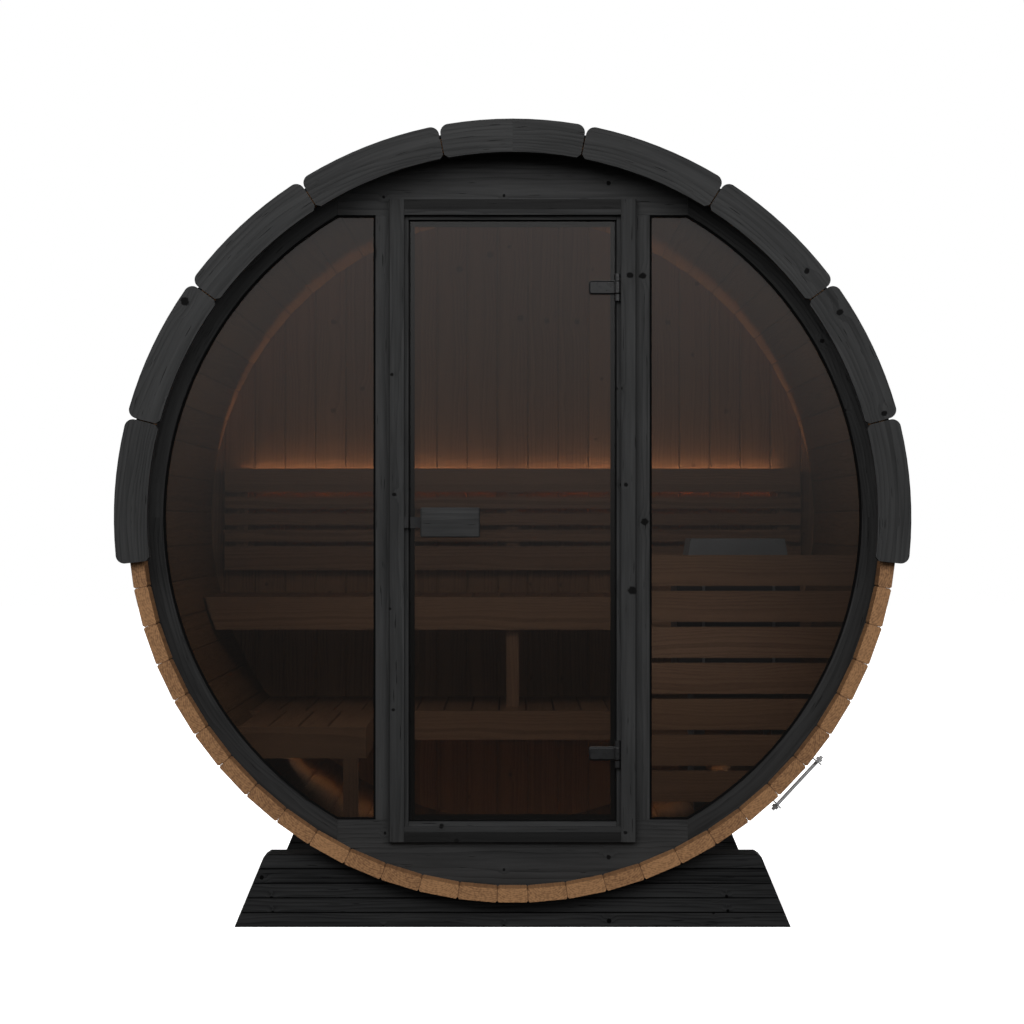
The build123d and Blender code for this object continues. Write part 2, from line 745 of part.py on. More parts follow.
# Light strips behind the backrest's top and under the lower bench's front
with BuildPart() as backrest_light:
    light_front = backrest_front + backrest_thickness + joint_gap
    light_top = backrest_top - light_drop
    light_x = around(0, 2 * (backrest_half - light_inset))
    board(light_x, (light_front, light_front + light_section), (light_top - light_section, light_top))
keep(backrest_light, "backrest_light")
with BuildPart() as lower_light:
    light_top = lower_rail_z[0] - fit
    light_foot = light_top - light_section
    light_x = around(0, 2 * (half_chord(light_foot) - light_inset))
    board(light_x, (behind_lower_apron, behind_lower_apron + light_section), (light_foot, light_top))
keep(lower_light, "lower_bench_light")

# Heater
heater_base = inside_bottom + heater_base_height
heater_top = heater_base + heater_body_height
heater_x = half_chord(heater_base) - heater_side_gap - heater_width / 2
heater_y = wall_inner + heater_setback + heater_depth / 2
plinth_depth = heater_depth - 2 * heater_round
with BuildPart() as heater_body:
    with BuildSketch(Plane(origin=(heater_x, heater_y, heater_base))):
        RectangleRounded(heater_width, heater_depth, heater_round)
        with Locations((0, -(heater_depth + rib_depth) / 2)):
            with GridLocations(rib_spacing, 0, 2, 1):
                Rectangle(rib_width, rib_depth)
    extrude(amount=heater_body_height)
    with BuildSketch(Plane(origin=(heater_x, heater_y, heater_base - plinth_height))):
        Rectangle(plinth_width, plinth_depth)
    extrude(amount=plinth_height)
    with BuildSketch(Plane(origin=(heater_x, heater_y, inside_bottom))):
        with GridLocations(plinth_width - heater_leg, plinth_depth - heater_leg, 2, 2):
            Rectangle(heater_leg, heater_leg)
    extrude(amount=heater_base_height - plinth_height)
    trim_to_barrel(fit)
keep(heater_body, "heater_body")
with BuildPart() as heater_hood:
    with BuildSketch(Plane(origin=(heater_x, heater_y, heater_top + fit))):
        Rectangle(hood_width + 2 * hood_flare, hood_depth + 2 * hood_flare)
    extrude(amount=hood_height, taper=degrees(atan(hood_flare / hood_height)))
keep(heater_hood, "heater_hood")

# Heater guard
guard_left = window_inner_edge - guard_post_lap
guard_front = wall_inner + guard_setback
guard_back = guard_front + guard_slat_thickness
guard_top = inside_bottom + guard_top_height
with BuildPart() as guard:
    for index in range(guard_slats):
        slat_top = guard_top - index * (guard_slat_height + guard_slat_gap)
        slat_z = (slat_top - guard_slat_height, slat_top)
        board((guard_left, inner_radius), (guard_front, guard_back), slat_z)
    trim_to_barrel(fit)
keep(guard, "heater_guard_slats")
with BuildPart() as guard_upright:
    upright_y = (guard_back + fit, guard_back + fit + guard_post)
    board((guard_left, guard_left + guard_post), upright_y, (inside_bottom, guard_top))
    trim_to_barrel(fit)
keep(guard_upright, "heater_guard_post")

print("stave pitch", round(stave_angle, 3), "closing stave", round(closing_angle, 3))
print("overall height", round(axis_height + barrel_radius + fascia_projection, 1))
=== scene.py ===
# %% [markdown]
# # Dressing a barrel sauna
# The sauna is already there as solid pieces: staves, fascia boards, a glazed front, benches and a heater.
# This lesson loads those pieces, gives each one the finish that the real one has, lays the shingles that
# belong to the roof's surface, and sets up a plain studio with the photograph's view.

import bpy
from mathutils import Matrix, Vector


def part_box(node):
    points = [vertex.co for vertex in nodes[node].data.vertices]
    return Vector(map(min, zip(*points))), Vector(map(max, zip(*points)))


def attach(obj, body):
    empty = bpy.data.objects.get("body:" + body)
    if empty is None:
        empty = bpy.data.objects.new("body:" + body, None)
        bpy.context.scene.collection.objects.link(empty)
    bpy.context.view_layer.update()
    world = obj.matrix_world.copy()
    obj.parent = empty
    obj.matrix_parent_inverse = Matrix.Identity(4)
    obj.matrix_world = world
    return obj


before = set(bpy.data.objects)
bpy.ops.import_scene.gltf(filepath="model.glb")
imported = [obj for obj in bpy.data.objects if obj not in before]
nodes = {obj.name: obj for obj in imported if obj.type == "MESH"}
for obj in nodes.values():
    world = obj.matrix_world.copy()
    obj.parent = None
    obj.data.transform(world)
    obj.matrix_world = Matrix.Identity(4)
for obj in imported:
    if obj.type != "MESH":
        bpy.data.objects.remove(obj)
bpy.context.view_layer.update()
print("loaded", len(nodes), "pieces")

# %% [markdown]
# ## Measures taken from the pieces
# A pattern such as wood grain has to know where each board lies. All the staves lie round one axis, so the
# height of that axis and the radii are read once from the pieces' own boxes. The few shares of a turn that
# a box can't tell, such as the staves' pitch, are named here.

# %% Read the barrel's measures
import math

import bmesh
import bpy
from mathutils import Matrix, Vector

closing_low, closing_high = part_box("closing_stave")
fascia_low, fascia_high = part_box("front_fascia")
barrel_end = closing_high.y
axis_height = fascia_high.z - (fascia_high.x - fascia_low.x) / 2
barrel_radius = axis_height - closing_low.z
inner_radius = axis_height - closing_high.z
full_staves = 60
closing_stave_width = 0.0855
closing_angle = 2 * math.atan(closing_stave_width / 2 / barrel_radius)
stave_angle = (2 * math.pi - closing_angle) / full_staves
fascia_boards = 9
fascia_end_angle = math.radians(96.9)
fascia_angle = 2 * fascia_end_angle / fascia_boards
print("axis at", round(axis_height, 4), "outside", round(barrel_radius, 4), "inside", round(inner_radius, 4))

# %% [markdown]
# ## Arithmetic on shader sockets
# Node trees are easiest to read as formulas. A small class wraps one output socket, so that `1 - mask` or
# `height * 0.2` adds the Math node by itself. Every other kind of node comes from its one `node` method.


# %% A socket that takes part in formulas
class Wire:
    """One output socket of a material's nodes."""

    def __init__(self, tree, socket=None):
        self.tree = tree
        self.socket = socket

    def node(self, kind, settings=None, inputs=None, output=0):
        """Add a node: its settings first, then the values or links of its sockets."""
        added = self.tree.nodes.new(kind)
        for key, setting in (settings or {}).items():
            setattr(added, key, setting)
        for key, value in (inputs or {}).items():
            if isinstance(value, Wire):
                self.tree.links.new(value.socket, added.inputs[key])
            else:
                added.inputs[key].default_value = value
        return Wire(self.tree, added.outputs[output])

    def other(self, output):
        """Another output of the same node."""
        return Wire(self.tree, self.socket.node.outputs[output])

    def maths(self, operation, *values):
        return self.node("ShaderNodeMath", {"operation": operation}, dict(enumerate(values)))

    def larger(self, value):
        return self.maths("MAXIMUM", self, value)

    def sign(self):
        return self.maths("SIGN", self)

    def fraction(self):
        return self.maths("FRACT", self)

    def __add__(self, value):
        return self.maths("ADD", self, value)

    def __sub__(self, value):
        return self.maths("SUBTRACT", self, value)

    def __rsub__(self, value):
        return self.maths("SUBTRACT", value, self)

    def __mul__(self, value):
        return self.maths("MULTIPLY", self, value)

    def __truediv__(self, value):
        return self.maths("DIVIDE", self, value)

    def __rtruediv__(self, value):
        return self.maths("DIVIDE", value, self)

    def __pow__(self, value):
        return self.maths("POWER", self, value)

    def __gt__(self, value):
        return self.maths("GREATER_THAN", self, value)

    def __lt__(self, value):
        return self.maths("LESS_THAN", self, value)

    def __abs__(self):
        return self.maths("ABSOLUTE", self)

    def __floor__(self):
        return self.maths("FLOOR", self)

    __radd__ = __add__
    __rmul__ = __mul__


print("sockets can be added, multiplied and compared")

# %% [markdown]
# ## Tools for every finish
# A finish starts as a Principled shader and the object's coordinates. Those coordinates are in metres and
# stay on the piece when it moves, so one metre of grain is one metre of board on every piece.


# %% Start a finish and feed its shader
def start_finish(name):
    """New material: its shader node, and the object coordinates as wires named x, y and z."""
    material = bpy.data.materials.new(name)
    material.use_nodes = True
    tree = material.node_tree
    place = Wire(tree).node("ShaderNodeTexCoord", output="Object")
    x = place.node("ShaderNodeSeparateXYZ", inputs={"Vector": place})
    return material, tree.nodes["Principled BSDF"], {"x": x, "y": x.other("Y"), "z": x.other("Z")}


def feed(shader, values):
    """Set or link the shader's own sockets."""
    for key, value in values.items():
        if isinstance(value, Wire):
            value.tree.links.new(value.socket, shader.inputs[key])
        else:
            shader.inputs[key].default_value = value


def vector(x, y, z=0.0):
    """Three numbers as one vector."""
    return x.node("ShaderNodeCombineXYZ", inputs={0: x, 1: y, 2: z})


def noise(place, detail=2.0, scale=1.0):
    return place.node("ShaderNodeTexNoise", inputs={"Vector": place, "Scale": scale, "Detail": detail})


def chance_of(number):
    """A steady random share for each whole number."""
    return number.node("ShaderNodeTexWhiteNoise", {"noise_dimensions": "1D"}, {"W": number})


def fade(value, start, end):
    """Goes smoothly from 0 at start to 1 at end."""
    inputs = {"Value": value, "From Min": start, "From Max": end}
    return value.node("ShaderNodeMapRange", {"interpolation_type": "SMOOTHSTEP"}, inputs)


def mix_colour(share, first, second):
    """First colour where share is 0, second where it is 1."""
    colours = [(*value, 1.0) if isinstance(value, tuple) else value for value in (first, second)]
    sockets = {0: share, 6: colours[0], 7: colours[1]}  # the factor, and the two colours among Mix's sockets
    return share.node("ShaderNodeMix", {"data_type": "RGBA"}, sockets, 2)


def bump(height, strength, distance):
    """Surface relief from a height in metres of the given distance."""
    inputs = {"Height": height, "Strength": strength, "Distance": distance}
    return height.node("ShaderNodeBump", inputs=inputs)


print("helpers ready: finish, feed, vector, noise, chance, fade, mix and bump")

# %% [markdown]
# ## The figure of sawn wood
# A board shows slices through a tree's growth rings. So the rings are made as rings: circles round a pith
# line that runs along the board a little behind its face and swings slowly. On the broad faces they become
# arches, on the ends they become arcs. Fine fibres run along the board, and a few boards carry knots, round
# which the rings bend. Painting streaks would be quicker, but the ends would not match the faces.


# %% Rings, fibres and knots
knot_spacing = 0.3


def wood_figure(along, across, depth, chance, width, ring_width=0.0045, knot_share=0.35):
    """Dark late wood, fibres, knots and drying cracks of a board, each a number from 0 to 1."""
    width = min(width, 0.1)
    cell_along = along / knot_spacing + chance * 31.0
    cell_across = across / width + 0.5 + math.floor(chance * 17.0)
    cell = vector(cell_along, cell_across)
    settings = {"voronoi_dimensions": "2D"}
    nearest = cell.node("ShaderNodeTexVoronoi", settings, {"Vector": cell, "Scale": 1.0, "Randomness": 0.8})
    spot = nearest.node("ShaderNodeSeparateXYZ", inputs={"Vector": nearest.other("Position")})
    luck = nearest.node("ShaderNodeSeparateColor", inputs={"Color": nearest.other("Color")})
    reach_along = (spot - cell_along) * knot_spacing
    reach_across = (spot.other("Y") - cell_across) * width
    ragged = noise(vector(along, across, depth), 2.0, 110.0) * 0.9 + 0.55
    reach = (reach_along * reach_along + reach_across * reach_across * 0.8) ** 0.5 * ragged
    size = luck.other("Green") ** 2.0 * 0.008 + 0.004
    there = luck < knot_share
    knots = fade(reach / size, 1.15, 0.75) * there
    swerve = fade(reach / size, 5.0, 0.5) * there
    swing = noise(vector(along * 1.4 + chance * 40.0, across * 6.0, depth * 6.0), 3.0)
    slide = across + (swing - 0.5) * 0.09 + (chance - 0.5) * 0.05 + swerve * 0.012
    pith = depth + 0.035 + chance * 0.05
    radius = (slide * slide + pith * pith) ** 0.5
    late = (radius / ring_width).fraction() ** 2.0
    fibres = noise(vector(along * 7.0 + chance * 50.0, across * 170.0, depth * 170.0), 3.0)
    splits = noise(vector(along * 13.0 + chance * 70.0, across * 230.0, depth * 60.0), 1.0)
    cracks = fade(splits, 0.71, 0.77)
    return {"late": late, "fibres": fibres, "knots": knots, "cracks": cracks}


print("wood figure ready")

# %% [markdown]
# ## Where the grain runs
# The same figure serves every board once it is told which way is along, across and into that board, and
# which board it is on. Straight boards take these from the axes. Round a barrel they come from the angle
# and the distance to the barrel's axis.


# %% Grain spaces
def straight_boards(place, along, across, depth, pitch=1.0, start=0.0, middle=0.0):
    """Boards side by side along one axis, a pitch apart."""
    index = math.floor((place[across] - start) / pitch)
    local = place[across] - start - (index + 0.5) * pitch
    return place[along], local, place[depth] - middle, chance_of(index + 0.37)


def cross_and_upright_boards(place, edge, middle):
    """A frame of four boards: uprights beyond an edge, cross boards between them."""
    upright = abs(place["x"]) > edge
    along = place["x"] + (place["z"] - place["x"]) * upright
    across = place["z"] + (place["x"] - place["z"]) * upright
    index = upright * 2.0 + upright * (place["x"] > 0.0) + (1.0 - upright) * (place["z"] > middle.z)
    side = place["x"].sign() * (edge + 0.02)
    level = middle.z + (place["z"] - middle.z).sign() * (middle.z * 0.75)
    local = across - (level + (side - level) * upright)
    return along, local, place["y"] - middle.y, chance_of(index + 0.71)


def round_barrel(place):
    """Angle from the bottom of the barrel, and distance from its axis."""
    down = axis_height - place["z"]
    turn = place["x"].maths("ARCTAN2", place["x"], down)
    return turn, (place["x"] * place["x"] + down * down) ** 0.5


def staves(place):
    """Staves side by side round the axis, from the closing stave at the bottom up both sides."""
    turn, radius = round_barrel(place)
    rise = (abs(turn) - closing_angle / 2) / stave_angle
    index = math.floor(rise)
    local = (rise - index - 0.5) * (stave_angle * barrel_radius)
    return place["y"], local, radius - inner_radius, chance_of(index + (turn > 0.0) * 100.0)


def curved_boards(place, board_angle, middle_radius, middle_y):
    """Boards set end to end round the axis, with one in the middle at the top."""
    turn, radius = round_barrel(place)
    from_top = math.pi - abs(turn)
    index = math.floor(from_top / board_angle + 0.5)
    side = place["x"] > 0.0
    return turn * middle_radius, radius - middle_radius, place["y"] - middle_y, chance_of(index + side * 20.0)


print("grain spaces for straight, framed, round and curved boards")

# %% [markdown]
# ## Heat-treated staves
# The staves are bare softwood, browned through by heat. Their faces show arches of late wood, and their cut
# ends show the arcs of the same rings. End grain soaks up more light and dirt, so it gets a little more
# contrast. The inner faces are darkened as painted shade of the barrel's inside. Two materials could do faces
# and ends, but a CAD mesh keeps one slot here, so one material tells the ends by their place along the
# barrel.

# %% Finish of the staves
stave_light = (0.285, 0.148, 0.064)
stave_dark = (0.085, 0.037, 0.015)
knot_brown = (0.045, 0.02, 0.01)
stave_width = stave_angle * barrel_radius


def stave_finish():
    material, shader, place = start_finish("stave wood")
    along, across, depth, chance = staves(place)
    figure = wood_figure(along, across, depth, chance, stave_width, 0.006)
    _, radius = round_barrel(place)
    end = abs(place["y"]) > barrel_end - 0.0006
    speckle = fade(noise(vector(place["x"], place["z"], place["y"]), 4.0, 150.0), 0.36, 0.66)
    gap = fade(abs(across), stave_width / 2 - 0.0022, stave_width / 2 - 0.0006)
    # painted shade: the staves' inner faces are darkened for the shade inside the barrel
    inside = fade(radius, inner_radius + 0.009, inner_radius + 0.002) * (1.0 - end)
    face_shade = figure["late"] * 0.4 + figure["fibres"] * 0.5 + chance * 0.4 - 0.2
    end_shade = figure["late"] * 0.45 + speckle * 0.5 + chance * 0.3 - 0.2
    shade = face_shade + (end_shade - face_shade) * end
    colour = mix_colour(shade, stave_light, stave_dark)
    colour = mix_colour(gap * 0.7, colour, stave_dark)
    colour = mix_colour(figure["knots"] * (1.0 - end), colour, knot_brown)
    colour = mix_colour(inside * 0.35, colour, stave_dark)
    roughness = figure["fibres"] * 0.2 + 0.5
    relief = figure["fibres"] * 0.6 - figure["late"] * 0.4
    feed(shader, {"Base Color": colour, "Roughness": roughness, "Specular IOR Level": 0.25})
    feed(shader, {"Normal": bump(relief, 0.5, 0.0006)})
    return material


stave_wood = stave_finish()
print("made", stave_wood.name)

# %% [markdown]
# ## Black-stained boards
# The front, the fascia and the cradles are softwood under a thin black stain. The stain sits thinner on the
# hard late wood, which therefore shines through as slightly lighter lines, and knots stay blacker than the
# rest. One function makes the finish for any grain space, so that the lines follow each board.

# %% Finish of the black boards
black_light = (0.04, 0.0405, 0.041)
black_dark = (0.0045, 0.0047, 0.0049)
black_knot = (0.0006, 0.0006, 0.0006)


def stained_colour(figure, cloud, chance, tone=0.0):
    thin = figure["fibres"] * 0.45 - figure["late"] * 0.24 + cloud * 0.6 + chance * 0.14 + (tone - 0.07)
    colour = mix_colour(thin, black_dark, black_light)
    return mix_colour(figure["knots"].larger(figure["cracks"]), colour, black_knot)


def black_finish(name, boards, width, gloss=0.2, tone=0.0, knot_share=0.5):
    """Black stain over the figure of the boards given by a grain space. A lower tone darkens it, on some
    boards as painted shade.
    """
    material, shader, place = start_finish(name)
    along, across, depth, chance = boards(place)
    figure = wood_figure(along, across, depth, chance, width, 0.0085, knot_share)
    cloud = noise(vector(along * 3.0 + chance * 9.0, across * 24.0, depth * 24.0), 3.0)
    relief = figure["fibres"] * 0.4 - figure["late"] * 0.6 - figure["knots"] * 0.5 - figure["cracks"]
    roughness = 0.76 - figure["fibres"] * 0.22 + figure["knots"] * 0.3
    colour = stained_colour(figure, cloud, chance, tone)
    joint = fade(abs(across), width / 2 - 0.003, width / 2 - 0.001)
    colour = mix_colour(joint * 0.9, colour, black_knot)
    feed(shader, {"Base Color": colour, "Roughness": roughness, "Specular IOR Level": gloss})
    feed(shader, {"Normal": bump(relief, 0.7, 0.001)})
    return material


def middle_of(name):
    low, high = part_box(name)
    return (low + high) / 2


def fascia_space(name):
    low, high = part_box(name)
    radius = (high.x - low.x) / 2 - 0.045
    return lambda place: curved_boards(place, fascia_angle, radius, (low.y + high.y) / 2)


def ring_space(place):
    return curved_boards(place, math.pi, inner_radius - 0.025, middle_of("front_ring_left").y)


def frame_space(name, width):
    low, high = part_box(name)
    return lambda place: cross_and_upright_boards(place, high.x - width, (low + high) / 2)


def straight_space(name, along, across, depth, pitch=None, start=0.0):
    """Grain space of one board, or of boards side by side a pitch apart."""
    middle = dict(zip("xyz", middle_of(name)))
    if pitch is None:
        pitch = 1.0
        start = middle[across] - pitch / 2
    return lambda place: straight_boards(place, along, across, depth, pitch, start, middle[depth])


frame_board = 0.042
casing_board = 0.043
stop_board = 0.0146
timber_pitch = 0.0404
black_boards = {
    "front_fascia": fascia_space("front_fascia"),
    "rear_fascia": fascia_space("rear_fascia"),
    "front_ring_left": ring_space,
    "front_ring_right": ring_space,
    "front_wall_top": straight_space("front_wall_top", "x", "z", "y"),
    "front_wall_bottom": straight_space("front_wall_bottom", "x", "z", "y"),
    "front_posts": straight_space("front_posts", "z", "x", "y", 0.7, -0.7),
    "door_frame": frame_space("door_frame", frame_board),
    "door_casing": frame_space("door_casing", casing_board),
    "door_stops": frame_space("door_stops", stop_board),
    "front_cradle": straight_space("front_cradle", "x", "z", "y", timber_pitch),
    "rear_cradle": straight_space("rear_cradle", "x", "z", "y", timber_pitch),
    "outer_handle": straight_space("outer_handle", "x", "z", "y"),
    "inner_handle": straight_space("inner_handle", "x", "z", "y"),
}
board_width = {"door_frame": frame_board, "door_casing": casing_board, "door_stops": stop_board}
board_width.update({"front_cradle": timber_pitch, "rear_cradle": timber_pitch})
# painted shade: the rings, the lower front wall and the cradles are darkened for the shade they lie in, not
# by stain;
# the smaller steps on the posts, casing, handle and fascia set each board's brightness
stain_and_shade_tone = {"front_cradle": -0.19, "rear_cradle": -0.19, "front_wall_bottom": -0.17}
stain_and_shade_tone.update({"front_ring_left": -0.22, "front_ring_right": -0.22, "outer_handle": -0.12})
stain_and_shade_tone.update({"front_posts": -0.06, "door_casing": -0.06, "front_fascia": 0.02, "rear_fascia": 0.02})
black_wood = {}
for name, space in black_boards.items():
    gloss = 0.05 if "cradle" in name else 0.2
    width = board_width.get(name, 1.0)
    black_wood[name] = black_finish(f"black {name}", space, width, gloss, stain_and_shade_tone.get(name, 0.0))
print("made", len(black_wood), "black finishes")

# %% [markdown]
# ## Planed wood inside
# Benches, backrest and guard are planed from the same heat-treated wood, knot-free where people sit. They
# could share one material, but then the grain of a post would run across it, so each piece has its own grain
# space. The back wall is one disc with two looks: planed brown boards inside, black stain outside.

# %% Finish of the inner wood
planed_light = (0.36, 0.19, 0.098)
planed_dark = (0.15, 0.071, 0.033)


def planed_colour(figure, chance):
    shade = figure["late"] * 0.4 + figure["fibres"] * 0.45 + chance * 0.3 - 0.2
    colour = mix_colour(shade, planed_light, planed_dark)
    return mix_colour(figure["knots"] * 0.55, colour, knot_brown)


def planed_finish(name, boards, knot_share=0.0):
    material, shader, place = start_finish(name)
    along, across, depth, chance = boards(place)
    figure = wood_figure(along, across, depth, chance, 0.08, 0.005, knot_share)
    relief = figure["fibres"] * 0.5 - figure["late"] * 0.3
    roughness = figure["fibres"] * 0.2 + 0.42
    feed(shader, {"Base Color": planed_colour(figure, chance), "Roughness": roughness})
    feed(shader, {"Normal": bump(relief, 0.4, 0.0005), "Specular IOR Level": 0.35})
    return material


slat_pitch = 0.0865
backrest_pitch = 0.0965
guard_pitch = 0.1054
_, side_slats_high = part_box("side_bench_slats")
_, guard_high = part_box("heater_guard_slats")
backrest_low, backrest_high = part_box("backrest_slats")
planed_boards = {
    "upper_bench_apron": straight_space("upper_bench_apron", "x", "z", "y"),
    "upper_bench_slats": straight_space("upper_bench_slats", "y", "x", "z", slat_pitch, -slat_pitch / 2),
    "upper_bench_rails": straight_space("upper_bench_rails", "x", "z", "y"),
    "upper_bench_post": straight_space("upper_bench_post", "z", "x", "y"),
    "lower_bench_apron": straight_space("lower_bench_apron", "x", "z", "y"),
    "lower_bench_slats": straight_space("lower_bench_slats", "y", "x", "z", slat_pitch, -slat_pitch / 2),
    "lower_bench_rails": straight_space("lower_bench_rails", "x", "z", "y"),
    "side_bench_frame": straight_space("side_bench_frame", "x", "z", "y"),
    "side_bench_slats": straight_space("side_bench_slats", "y", "x", "z", slat_pitch, side_slats_high.x),
    "side_bench_leg": straight_space("side_bench_leg", "z", "x", "y"),
    "backrest_slats": straight_space("backrest_slats", "x", "z", "y", backrest_pitch, backrest_low.z),
    "backrest_battens": straight_space("backrest_battens", "z", "x", "y", 0.9, -0.45),
    "heater_guard_slats": straight_space("heater_guard_slats", "x", "z", "y", guard_pitch, guard_high.z),
    "heater_guard_post": straight_space("heater_guard_post", "z", "x", "y"),
}
planed_wood = {name: planed_finish(f"planed {name}", space) for name, space in planed_boards.items()}
print("made", len(planed_wood), "planed finishes")

# %% The back wall's two faces
back_board_pitch = 0.103
wall_low, wall_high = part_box("back_wall")


def back_wall_finish():
    material, shader, place = start_finish("back wall boards")
    boards = straight_boards(place, "z", "x", "y", back_board_pitch, -back_board_pitch / 2, wall_low.y)
    along, across, depth, chance = boards
    figure = wood_figure(along, across, depth, chance, back_board_pitch, 0.0055, 0.6)
    cloud = noise(vector(along * 2.2 + chance * 9.0, across * 9.0, depth * 9.0))
    outside = place["y"] > wall_high.y - 0.012
    colour = mix_colour(outside, planed_colour(figure, chance), stained_colour(figure, cloud, chance))
    relief = figure["fibres"] * 0.5 - figure["late"] * 0.4
    roughness = figure["fibres"] * 0.2 + 0.46
    feed(shader, {"Base Color": colour, "Roughness": roughness, "Specular IOR Level": 0.25})
    feed(shader, {"Normal": bump(relief, 0.5, 0.0006)})
    return material


back_boards = back_wall_finish()
print("made", back_boards.name)

# %% [markdown]
# ## Tinted glass
# The panes are grey-brown tinted glass. A refracting shader would need many samples for light to get in, and
# thin flat panes hardly bend it. So alpha lets half of the picture behind them through, the dark base takes
# the rest away, and the smooth shader keeps the reflections of the studio. Alpha halves those too, which the
# higher specular level makes up for.

# %% Finish of the glass
def glass_finish():
    material, shader, place = start_finish("tinted glass")
    smear = noise(vector(place["x"] * 3.0, place["z"] * 2.0, place["y"]), 4.0)
    feed(shader, {"Base Color": (0.006, 0.0055, 0.005, 1.0), "Roughness": smear * 0.05})
    feed(shader, {"Alpha": 0.5, "IOR": 1.5, "Specular IOR Level": 1.0})
    return material


tinted_glass = glass_finish()
print("made", tinted_glass.name)

# %% [markdown]
# ## Steel, rubber and plastic
# Hoops, bolts, seals and the catch are small and plain, so one function serves them all: a colour that wears
# to a second one in faint clouds, which also change the roughness a little.

# %% Finishes of the hardware
def worn_finish(name, colour, worn, roughness, metallic, gloss):
    """A plain material with faint clouds of wear in its colour and its roughness."""
    material, shader, place = start_finish(name)
    patch = noise(vector(place["x"], place["y"], place["z"]), 4.0, 90.0)
    feed(shader, {"Base Color": mix_colour(patch, colour, worn), "Metallic": metallic})
    feed(shader, {"Roughness": patch * 0.2 + (roughness - 0.1), "Specular IOR Level": gloss})
    feed(shader, {"Normal": bump(patch, 0.15, 0.0004)})
    return material


hoop_steel = worn_finish("hoop steel", (0.5, 0.5, 0.51), (0.7, 0.7, 0.7), 0.34, 0.85, 0.5)
bolt_steel = worn_finish("bolt steel", (0.7, 0.7, 0.71), (0.85, 0.85, 0.85), 0.3, 0.25, 0.5)
seal_rubber = worn_finish("seal rubber", (0.002, 0.002, 0.002), (0.005, 0.005, 0.005), 0.8, 0.0, 0.03)
catch_plastic = worn_finish("catch plastic", (0.009, 0.009, 0.0092), (0.016, 0.016, 0.017), 0.5, 0.0, 0.2)
print("made", [m.name for m in (hoop_steel, bolt_steel, seal_rubber, catch_plastic)])

# %% [markdown]
# ## Hinge plates
# The plates on the door are polished black metal with softly rounded edges. The solid plates have sharp ones,
# so the rounding is relief: a height that falls towards the plate's outline. The upper edge then mirrors the
# lights and the lower edge the dark ground, which is how such a plate stands out from the glass.

# %% Finish of the hinges
hinge_inset = 0.184
plate_length = 0.072
plate_half = 0.0195
plate_corner = 0.009
edge_round = 0.005
leaf_low, leaf_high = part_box("door_glass")
lower_level = leaf_low.z + hinge_inset
hinge_spread = leaf_high.z - leaf_low.z - 2 * hinge_inset


def hinge_finish():
    material, shader, place = start_finish("dark hinge metal")
    patch = noise(vector(place["x"], place["y"], place["z"]), 4.0, 90.0)
    upper = place["z"] > lower_level + hinge_spread / 2
    from_side = plate_half - abs(place["z"] - lower_level - upper * hinge_spread)
    from_end = place["x"] - (leaf_high.x - plate_length)
    over_side = (plate_corner - from_side).larger(0.0)
    over_end = (plate_corner - from_end).larger(0.0)
    from_outline = plate_corner - (over_side * over_side + over_end * over_end) ** 0.5
    crown = fade(from_outline, 0.0, edge_round)
    colour = mix_colour(patch, (0.012, 0.0122, 0.0125), (0.022, 0.022, 0.023))
    feed(shader, {"Base Color": colour, "Roughness": patch * 0.1 + 0.2, "Metallic": 0.3})
    feed(shader, {"Normal": bump(crown + patch * 0.02, 1.0, edge_round)})
    return material


hinge_metal = hinge_finish()
print("hinges at", round(lower_level, 3), "and", round(lower_level + hinge_spread, 3))

# %% [markdown]
# ## Roofing
# The covering is a bitumen sheet with a granule face. A fine noise makes the granules, and slower clouds
# make the faded patches of a roof that has stood outside. The shingles over it have the same face, but each
# tab comes from another part of the roll, so each has a tone of its own.

# %% Finish of the roofing
course_exposure = 0.145
tab_pitch = 0.325
course_angle = course_exposure / barrel_radius
covering_low, covering_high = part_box("roof_covering")
sheet_radius = covering_high.z - axis_height
eave_angle = math.pi / 2 + math.asin((axis_height - covering_low.z) / sheet_radius) - 0.006
roof_half = covering_high.y - 0.002
ridge_turn = 0.11
ridge_pieces = 13
ridge_pitch = 2 * roof_half / ridge_pieces


def roofing_finish(name, by_tab):
    material, shader, place = start_finish(name)
    spot = vector(place["x"], place["y"], place["z"])
    grit = noise(spot, 2.0, 420.0)
    cloud = noise(spot, 3.0, 5.0)
    share = fade(grit, 0.4, 0.68) * 0.6 + cloud * 0.35
    if by_tab:
        turn, _ = round_barrel(place)
        from_top = math.pi - abs(turn)
        course = math.floor((eave_angle - from_top) / course_angle)
        tab = math.floor(place["y"] / tab_pitch - course * 0.5)
        cap = math.floor((place["y"] + roof_half) / ridge_pitch)
        tone = chance_of(course * 13.0 + tab * 3.7 + (turn > 0.0) * 5.1)
        tone = tone + (from_top < ridge_turn) * (chance_of(cap + 0.3) - tone)
        share = share + tone * 0.45 - 0.2
    feed(shader, {"Base Color": mix_colour(share, (0.008, 0.008, 0.0084), (0.05, 0.051, 0.053))})
    feed(shader, {"Normal": bump(grit, 0.6, 0.0008), "Roughness": 0.9, "Specular IOR Level": 0.2})
    return material


roof_sheet = roofing_finish("bitumen sheet", False)
shingle_face = roofing_finish("shingle face", True)
print("made", roof_sheet.name, shingle_face.name)

# %% [markdown]
# ## Shingles
# Shingles are nailed in courses from the eaves up to the ridge, each course lapping over the one below it,
# and its slots set half a tab aside. A tab could be a flat box, but on this tight curve its edges would
# stand off the roof. So each tab is a small rectangle swept round the barrel's axis, and only its lower edge
# is lifted, by the thickness of the tab that it lies on. One side is made, then mirrored.

# %% One tab, swept round the roof
tab_thickness = 0.0026
tab_slot = 0.007
head_lap = 0.03


